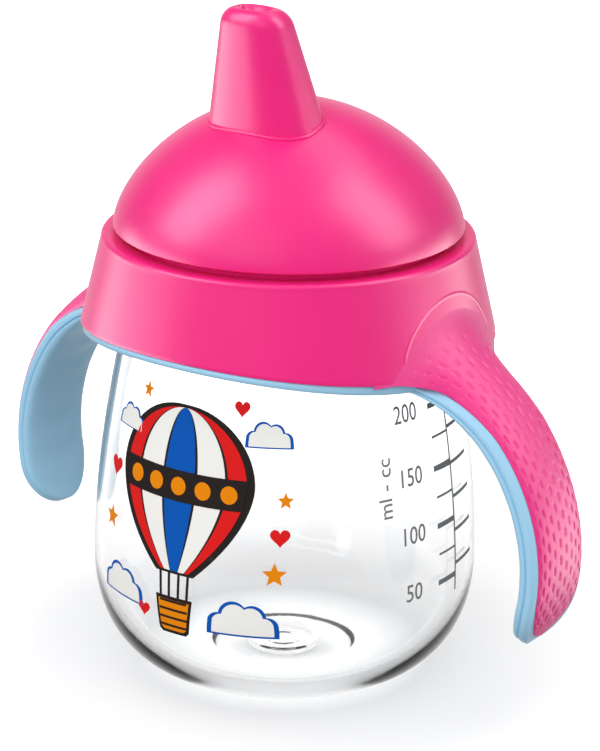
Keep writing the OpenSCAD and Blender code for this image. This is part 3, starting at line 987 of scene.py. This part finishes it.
def wrap_print(name, outlines, middle, material, layer=0):
    """Flat outlines, each a list of (across, height), cut fine and laid on the cup as a thin film of ink."""
    curve = bpy.data.curves.new(name, "CURVE")
    curve.dimensions = "2D"
    curve.fill_mode = "BOTH"
    for outline in outlines:
        spline = curve.splines.new("POLY")
        spline.points.add(len(outline) - 1)
        for point, (x, y) in zip(spline.points, outline):
            point.co = (x, y, 0, 1)
        spline.use_cyclic_u = True
    return lay_print(name, flatten(name, curve), middle, material, layer)


def flatten(name, curve):
    """The flat mesh of a filled curve or text."""
    flat = bpy.data.objects.new(name + "_flat", curve)
    bpy.context.scene.collection.objects.link(flat)
    bpy.context.view_layer.update()
    mesh = bpy.data.meshes.new_from_object(flat.evaluated_get(bpy.context.evaluated_depsgraph_get()))
    bpy.data.objects.remove(flat)
    return mesh


def lay_print(name, mesh, middle, material, layer):
    """Cuts a flat mesh fine, gives it the ink's thickness and lays it on the cup."""
    bm = bmesh.new()
    bm.from_mesh(mesh)
    bmesh.ops.remove_doubles(bm, verts=bm.verts, dist=0.001)
    xs = [v.co.x for v in bm.verts]
    ys = [v.co.y for v in bm.verts]
    cuts = [(Vector((x, 0, 0)), Vector((1, 0, 0))) for x in frange(min(xs), max(xs), 1.2)]
    cuts += [(Vector((0, y, 0)), Vector((0, 1, 0))) for y in frange(min(ys), max(ys), 1.5)]
    for place, normal in cuts:
        everything = bm.verts[:] + bm.edges[:] + bm.faces[:]
        bmesh.ops.bisect_plane(bm, geom=everything, plane_co=place, plane_no=normal, dist=0.0001)
    bmesh.ops.triangulate(bm, faces=bm.faces)
    bottom = PRINT_LIFT + layer * (PRINT_THICK + 0.02)
    film = bmesh.ops.extrude_face_region(bm, geom=bm.faces[:] + bm.edges[:])
    raised = {v for v in film["geom"] if isinstance(v, bmesh.types.BMVert)}
    for v in bm.verts:
        lift = bottom + (PRINT_THICK if v in raised else 0.0)
        v.co = Vector(wrap_point(v.co.x, v.co.y, middle, lift)) * MM
    bmesh.ops.recalc_face_normals(bm, faces=bm.faces)
    for face in bm.faces:
        face.smooth = True
    for edge in bm.edges:
        edge.smooth = len(edge.link_faces) == 2 and edge.calc_face_angle() < math.radians(40)
    bm.to_mesh(mesh)
    bm.free()
    mesh.name = name
    mesh.materials.clear()
    mesh.materials.append(material)
    obj = bpy.data.objects.new(name, mesh)
    bpy.context.scene.collection.objects.link(obj)
    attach(obj, "cup")
    return obj


def frange(low, high, step):
    count = int((high - low) / step)
    return [low + step * (k + 1) for k in range(count)]


def wrap_text(name, text, size, at, middle, material, turn=0.0, squeeze=1.0):
    """Plain numerals or unit letters laid on the cup, centred on a place."""
    curve = bpy.data.curves.new(name, "FONT")
    curve.body = text
    curve.size = size
    curve.align_x = "CENTER"
    curve.align_y = "CENTER"
    curve.resolution_u = 4
    curve.offset = 0.012
    mesh = flatten(name, curve)
    move = Matrix.Translation((at[0], at[1], 0)) @ Matrix.Rotation(math.radians(turn), 4, "Z")
    mesh.transform(move @ Matrix.Diagonal((squeeze, 1, 1, 1)))
    return lay_print(name, mesh, middle, material, 0)


# ---- The picture: a hot-air balloon over clouds, in heights and widths of the print area ----

BALLOON_X = -1.0
BALLOON_TOP = 63.0
BALLOON_LOW = 30.0
BALLOON_WIDE = 15.5


def balloon_edge(z):
    """Half width of the envelope at a height."""
    middle = BALLOON_LOW + 0.58 * (BALLOON_TOP - BALLOON_LOW)
    if z >= middle:
        t = clamp((z - middle) / (BALLOON_TOP - middle))
        return BALLOON_WIDE * math.sqrt(1 - t * t)
    t = clamp((middle - z) / (middle - BALLOON_LOW))
    return BALLOON_WIDE * (1 - 0.78 * t**1.7)


def balloon_gore(low, high, grow=0.0):
    """One upright panel of the envelope, between two shares of its half width from -1 to 1."""
    heights = [lerp(BALLOON_LOW, BALLOON_TOP, 0.5 - 0.5 * math.cos(math.pi * k / 48)) for k in range(49)]
    left = [(BALLOON_X + low * (balloon_edge(z) + grow), z) for z in heights]
    right = [(BALLOON_X + high * (balloon_edge(z) + grow), z) for z in heights]
    return left + right[::-1]


def star(cx, cy, r, points=5, inner=0.45, turn=90.0):
    out = []
    for k in range(points * 2):
        size = r if k % 2 == 0 else r * inner
        a = math.radians(turn + 180 * k / points)
        out.append((cx + size * math.cos(a), cy + size * math.sin(a)))
    return out


def heart(cx, cy, r):
    out = []
    for k in range(40):
        a = 2 * math.pi * k / 40
        x = 16 * math.sin(a) ** 3
        y = 13 * math.cos(a) - 5 * math.cos(2 * a) - 2 * math.cos(3 * a) - math.cos(4 * a)
        out.append((cx + r * x / 17, cy + r * y / 17))
    return out


def cloud(cx, cy, w):
    """Outline of a puffy cloud with a flat base."""
    puffs = [(-0.36, 0.1, 0.17), (-0.14, 0.24, 0.22), (0.14, 0.22, 0.2), (0.36, 0.09, 0.16)]
    upper = []
    for k in range(81):
        x = lerp(-0.53, 0.53, k / 80)
        top = 0.0
        for px, py, pr in puffs:
            if abs(x - px) < pr:
                top = max(top, py + math.sqrt(pr**2 - (x - px) ** 2))
        upper.append((cx + w * x, cy + w * max(0.0, top)))
    return [(cx - 0.53 * w, cy - 0.07 * w)] + upper + [(cx + 0.53 * w, cy - 0.07 * w)]


def bar(x1, y1, x2, y2, width):
    """A straight stroke."""
    d = Vector((x2 - x1, y2 - y1)).normalized()
    sx, sy = -d.y * width / 2, d.x * width / 2
    return [(x1 + sx, y1 + sy), (x1 - sx, y1 - sy), (x2 - sx, y2 - sy), (x2 + sx, y2 + sy)]


PRINT_MIDDLE = 4.0


def print_picture(inks):
    """Layers of the picture, each a thin film over the one before."""
    dark, white, red, blue, orange = (inks[k] for k in ("dark", "white", "red", "blue", "orange"))
    at = PRINT_MIDDLE

    wrap_print("print_balloon_outline", [balloon_gore(-1, 1, 0.9)], at, dark, 0)
    shares = [-0.97, -0.68, -0.25, 0.25, 0.68, 0.97]
    for k, ink in enumerate((red, white, blue, white, red)):
        panel = [(x, lerp(46.5, z, 0.965)) for x, z in balloon_gore(shares[k] + 0.02, shares[k + 1] - 0.02)]
        wrap_print(f"print_balloon_panel_{k + 1}", [panel], at, ink, 1)
    edge = [(BALLOON_X + s * (balloon_edge(z) - 0.35), z) for z in (44.5, 50.5) for s in (-1, 1)]
    wrap_print("print_balloon_band", [[edge[0], edge[1], edge[3], edge[2]]], at, dark, 2)
    dots = [ellipse(BALLOON_X + k * 5.6, 47.5, 1.75, 1.75, 28) for k in (-2, -1, 0, 1, 2)]
    wrap_print("print_balloon_dots", dots, at, orange, 3)

    x = BALLOON_X
    ropes = [bar(x + s * 3.2, BALLOON_LOW, x + s * 3.0, 25.0, 0.55) for s in (-1, -0.35, 0.35, 1)]
    wrap_print("print_balloon_ropes", ropes, at, dark, 0)
    right = [(2.7, 17.5), (3.4, 18.2), (4.2, 25.2)]
    basket = [(x - px, py) for px, py in reversed(right)] + [(x + px, py) for px, py in right]
    wrap_print("print_basket_outline", [basket], at, dark, 0)
    inner = [(x + (px - x) * 0.84, 21.4 + (py - 21.4) * 0.82) for px, py in basket]
    wrap_print("print_basket", [inner], at, orange, 1)
    weave = []
    for k in range(4):
        half, z = 3.4 - 0.12 * k, 19.2 + 1.7 * k
        weave.append(bar(x - half, z, x + half, z, 0.45))
    wrap_print("print_basket_weave", weave, at, dark, 2)

    clouds = [(-15.5, 22.0, 12.5), (13.5, 20.5, 13.5), (-17.0, 55.5, 9.0), (18.0, 57.5, 9.5)]
    for k, (cx, cy, w) in enumerate(clouds):
        wrap_print(f"print_cloud_edge_{k + 1}", [cloud(cx, cy, w)], at, blue, 0)
        wrap_print(f"print_cloud_{k + 1}", [cloud(cx, cy + 0.022 * w, w * 0.86)], at, white, 1)
    stars = [(-20.5, 36.0, 2.4), (19.5, 32.5, 2.5), (-12.5, 63.6, 1.7), (21.5, 47.0, 1.7)]
    wrap_print("print_stars", [star(sx, sy, r) for sx, sy, r in stars], at, orange, 0)
    hearts = [(-20.5, 46.5, 2.3), (20.5, 40.0, 2.1), (12.0, 64.0, 1.8), (-8.5, 21.0, 1.7)]
    wrap_print("print_hearts", [heart(hx, hy, r) for hx, hy, r in hearts], at, red, 0)


# ---- The volume scale ----

SCALE_MARKS = ((25.4, "50"), (37.0, "100"), (48.5, "150"), (60.8, "200"))
OUNCE_ML = 29.6
SCALE_ANGLE = 77.0
SCALE_LINE = 96.5


def arc_mm(angle):
    """Distance along the cup's skin for an angle in degrees."""
    return math.radians(angle) * CUP_R


def scale_height(ml):
    """Height of a volume mark between the printed ones."""
    step = clamp(ml / 50 - 1, 0, 2.99)
    k = int(step)
    return lerp(SCALE_MARKS[k][0], SCALE_MARKS[k + 1][0], ml / 50 - 1 - k)


def print_scale(grey):
    """Numbers, unit, ticks and upright line of the volume scale."""
    at = SCALE_ANGLE
    for z, text in SCALE_MARKS:
        wrap_text(f"scale_number_{text}", text, 5.0, (0.0, z), at, grey, squeeze=0.88)
    wrap_text("scale_unit", "ml - cc", 4.4, (arc_mm(67.5 - at), 47.5), at, grey, turn=90.0, squeeze=1.0)
    strokes = []
    for z, _ in SCALE_MARKS:
        strokes.append(bar(arc_mm(87.5 - at), z, arc_mm(SCALE_LINE - at), z, 1.05))
    for (low, _), (high, _) in zip(SCALE_MARKS, SCALE_MARKS[1:]):
        z = (low + high) / 2
        strokes.append(bar(arc_mm(88 - at), z, arc_mm(SCALE_LINE - at), z, 0.45))
    for ounces in range(2, 7):
        z = scale_height(ounces * OUNCE_ML)
        strokes.append(bar(arc_mm(SCALE_LINE - at), z, arc_mm(109 - at), z, 0.7))
    wrap_print("scale_ticks", strokes, at, grey)
    line_x = arc_mm(SCALE_LINE - at)
    wrap_print("scale_line", [bar(line_x, 22.0, line_x, 63.4, 0.45)], at, grey, 1)


# ---- Floor, lights and camera ----


FLOOR_GLOW = 0.1
FADE_START, FADE_END = 50, 220
# Painted light: the floor under the cup glows, so the floor seen through the clear cup looks brightly lit.
UNDER_CUP_PAINTED_LIGHT = 0.6
PAINTED_LIGHT_START, PAINTED_LIGHT_END = 18, 32


def build_floor():
    """A pale flat floor, seen from above only, that fades to white away from the cup, with a painted pool of
    light glowing under the cup.
    """
    shell = Shell()
    rows = []
    turns = [2 * math.pi * k / 96 for k in range(96)]
    for r in (5000, 2500, 1200, 600, 300, 120, 0.0):
        rows.append([(r * math.cos(a), r * math.sin(a), 0.0) for a in turns])
    material = bpy.data.materials.new("pale_studio_floor")
    material.use_nodes = True
    n = Nodes(material.node_tree)
    bsdf = n.nodes["Principled BSDF"]
    place = n.add("ShaderNodeTexCoord").outputs["Object"]
    tone = n.ramp(n.noise(place, 6.0, 3.0), 0.3, 0.7, 0.985, 1.0)
    color = n.add("ShaderNodeCombineColor", {"Red": tone, "Green": tone, "Blue": tone})
    n.links.new(color.outputs[0], bsdf.inputs["Base Color"])
    bsdf.inputs["Roughness"].default_value = 0.55
    split = n.add("ShaderNodeSeparateXYZ", {"Vector": place}).outputs
    square = n.math("ADD", n.math("POWER", split["X"], 2.0), n.math("POWER", split["Y"], 2.0))
    far = n.math("SQRT", square)
    # Painted light: a glowing pool on the floor under the cup, full within the inner radius and fading out
    # by the outer one.
    painted_light_under_cup = n.ramp(far, PAINTED_LIGHT_END * MM, PAINTED_LIGHT_START * MM, 0.0, UNDER_CUP_PAINTED_LIGHT)
    away = n.ramp(far, FADE_START * MM, FADE_END * MM, FLOOR_GLOW, 1.0)
    n.links.new(n.math("MAXIMUM", painted_light_under_cup, away), bsdf.inputs["Emission Strength"])
    bsdf.inputs["Emission Color"].default_value = (1, 1, 1, 1)
    below = n.add("ShaderNodeNewGeometry").outputs["Backfacing"]
    one_sided = n.add("ShaderNodeMixShader", {"Fac": below})
    n.links.new(bsdf.outputs[0], one_sided.inputs[1])
    n.links.new(n.add("ShaderNodeBsdfTransparent").outputs[0], one_sided.inputs[2])
    n.links.new(one_sided.outputs[0], n.nodes["Material Output"].inputs["Surface"])
    shell.grid(rows)
    mesh = bpy.data.meshes.new("studio_floor")
    mesh.from_pydata([Vector(p) * MM for p in shell.points], [], shell.faces)
    floor = bpy.data.objects.new("studio_floor", mesh)
    bpy.context.scene.collection.objects.link(floor)
    mesh.materials.append(material)
    floor.visible_glossy = False
    floor.visible_diffuse = False
    floor.visible_shadow = False


def area_light(name, place, target, size, brightness):
    """A soft box of a given brightness, where 1 is the brightness of the white surroundings."""
    data = bpy.data.lights.new(name, "AREA")
    data.shape = "RECTANGLE"
    data.size, data.size_y = (s * MM for s in size)
    data.energy = brightness * math.pi * data.size * data.size_y
    light = bpy.data.objects.new(name, data)
    light.location = Vector(place) * MM
    light.rotation_euler = (Vector(target) * MM - light.location).to_track_quat("-Z", "Y").to_euler()
    bpy.context.scene.collection.objects.link(light)
    return light


AZIMUTH = math.radians(35.79)
SKY_AMBIENT = 0.86
GROUND_AMBIENT = 0.42
GLOSS_AMBIENT = 0.1


def build_world():
    """White to look at; dimmer as light and in the gloss, but for a white sweep behind the cup."""
    world = bpy.data.worlds.new("white_studio")
    world.use_nodes = True
    n = Nodes(world.node_tree)
    path = n.add("ShaderNodeLightPath").outputs
    seen = n.math("MAXIMUM", path["Is Camera Ray"], path["Is Transmission Ray"])
    way = n.add("ShaderNodeTexCoord").outputs["Generated"]
    upward = n.add("ShaderNodeSeparateXYZ", {"Vector": way}).outputs["Z"]
    around_us = n.ramp(upward, -0.25, 0.25, GROUND_AMBIENT, SKY_AMBIENT)
    lit = n.math("MULTIPLY", n.math("SUBTRACT", 1.0, path["Is Glossy Ray"]), around_us)
    behind = n.add("ShaderNodeVectorMath", {0: way, 1: (-math.sin(AZIMUTH), math.cos(AZIMUTH), -0.25)})
    behind.operation = "DOT_PRODUCT"
    sweep = n.ramp(behind.outputs["Value"], 0.6, 1.0, GLOSS_AMBIENT, 1.0)
    dim = n.math("ADD", lit, n.math("MULTIPLY", path["Is Glossy Ray"], sweep))
    strength = n.math("MAXIMUM", seen, dim)
    n.links.new(strength, n.nodes["Background"].inputs["Strength"])
    n.nodes["Background"].inputs["Color"].default_value = (1, 1, 1, 1)
    bpy.context.scene.world = world


ELEVATION = math.radians(19.31)
ROLL = math.radians(-0.85)
DISTANCE = 569.7
AIM = (0.0, 0.0, 70.0)
ACROSS, UPWARD = 2.58, -10.16
LENS = 139.2


def build_camera():
    level = math.cos(ELEVATION)
    back = Vector((math.sin(AZIMUTH) * level, -math.cos(AZIMUTH) * level, math.sin(ELEVATION)))
    right = Vector((math.cos(AZIMUTH), math.sin(AZIMUTH), 0))
    up = back.cross(right)
    place = Vector(AIM) + back * DISTANCE + right * ACROSS + up * UPWARD
    rolled_right = math.cos(ROLL) * right - math.sin(ROLL) * up
    rolled_up = math.sin(ROLL) * right + math.cos(ROLL) * up
    data = bpy.data.cameras.new("studio_camera")
    data.lens = LENS
    data.sensor_width = 36
    data.clip_start, data.clip_end = 0.01, 20
    camera = bpy.data.objects.new("studio_camera", data)
    bpy.context.scene.collection.objects.link(camera)
    turn = Matrix((rolled_right, rolled_up, back)).transposed().to_4x4()
    camera.matrix_world = Matrix.Translation(place * MM) @ turn
    bpy.context.scene.camera = camera


def around(azimuth, height, distance):
    """A place round the cup: azimuth in degrees from the camera's side, positive to its right."""
    a = AZIMUTH + math.radians(azimuth)
    return (distance * math.sin(a), -distance * math.cos(a), height)


def build_lights(pieces):
    """Even light on everything, and tall soft boxes that only the gloss picks up."""
    middle = (0, 0, 70)
    area_light("overhead", around(0, 900, 60), middle, (900, 900), 0.45).visible_glossy = False
    area_light("front_key", around(-28, 520, 760), middle, (620, 520), 2.6).visible_glossy = False
    boxes = {
        "soft_box_left_low": (around(-97, -110, 600), (700, 400), 5.2),
        "soft_box_left_high": (around(-80, 540, 520), (360, 640), 6.6),
        "soft_box_right_low": (around(97, -110, 600), (700, 400), 5.4),
        "soft_box_right_high": (around(78, 540, 520), (340, 640), 5.4),
        "soft_box_top": (around(140, 620, 240), (420, 260), 2.2),
    }
    shiny = bpy.data.collections.new("shiny_pieces")
    for piece in pieces:
        shiny.objects.link(piece)
    for name, (place, size, brightness) in boxes.items():
        box = area_light(name, place, middle, size, brightness)
        box.visible_diffuse = False
        box.visible_transmission = False
        box.light_linking.receiver_collection = shiny


# ---- Everything together ----


def dress_cad(made):
    """Gives the carried-over CAD nodes their finishes."""
    finishes = {"valve_body": "valve"}
    for node in ("lid_seal", "drink_disc", "vent_disc"):
        finishes[node] = "silicone"
    for node, finish in finishes.items():
        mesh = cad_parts[node].data
        mesh.materials.clear()
        mesh.materials.append(made[finish])


def main():
    made = make_materials()
    build_cup(made["clear"])
    build_ring(made["blue"])
    shiny = [
        build_collar(made["collar"]),
        build_grip("grip_pad_right", "grip_right", 1, made["grip"]),
        build_grip("grip_pad_left", "grip_left", -1, made["grip"]),
        build_lid_dome(made["lid"]),
        build_spout(made["lid"]),
    ]
    dress_cad(made)
    inks = {
        "dark": ink_material("dark_brown_ink", rgb("2C2624")),
        "white": ink_material("white_ink", rgb("F6F5F1")),
        "red": ink_material("red_ink", rgb("E31B1B")),
        "blue": ink_material("blue_ink", rgb("0058B8")),
        "orange": ink_material("orange_ink", rgb("EE8A00")),
    }
    print_picture(inks)
    print_scale(ink_material("grey_ink", rgb("8A8A8A")))
    build_floor()
    build_world()
    build_lights(shiny)
    build_camera()
    bpy.context.scene.view_settings.view_transform = "Standard"


main()
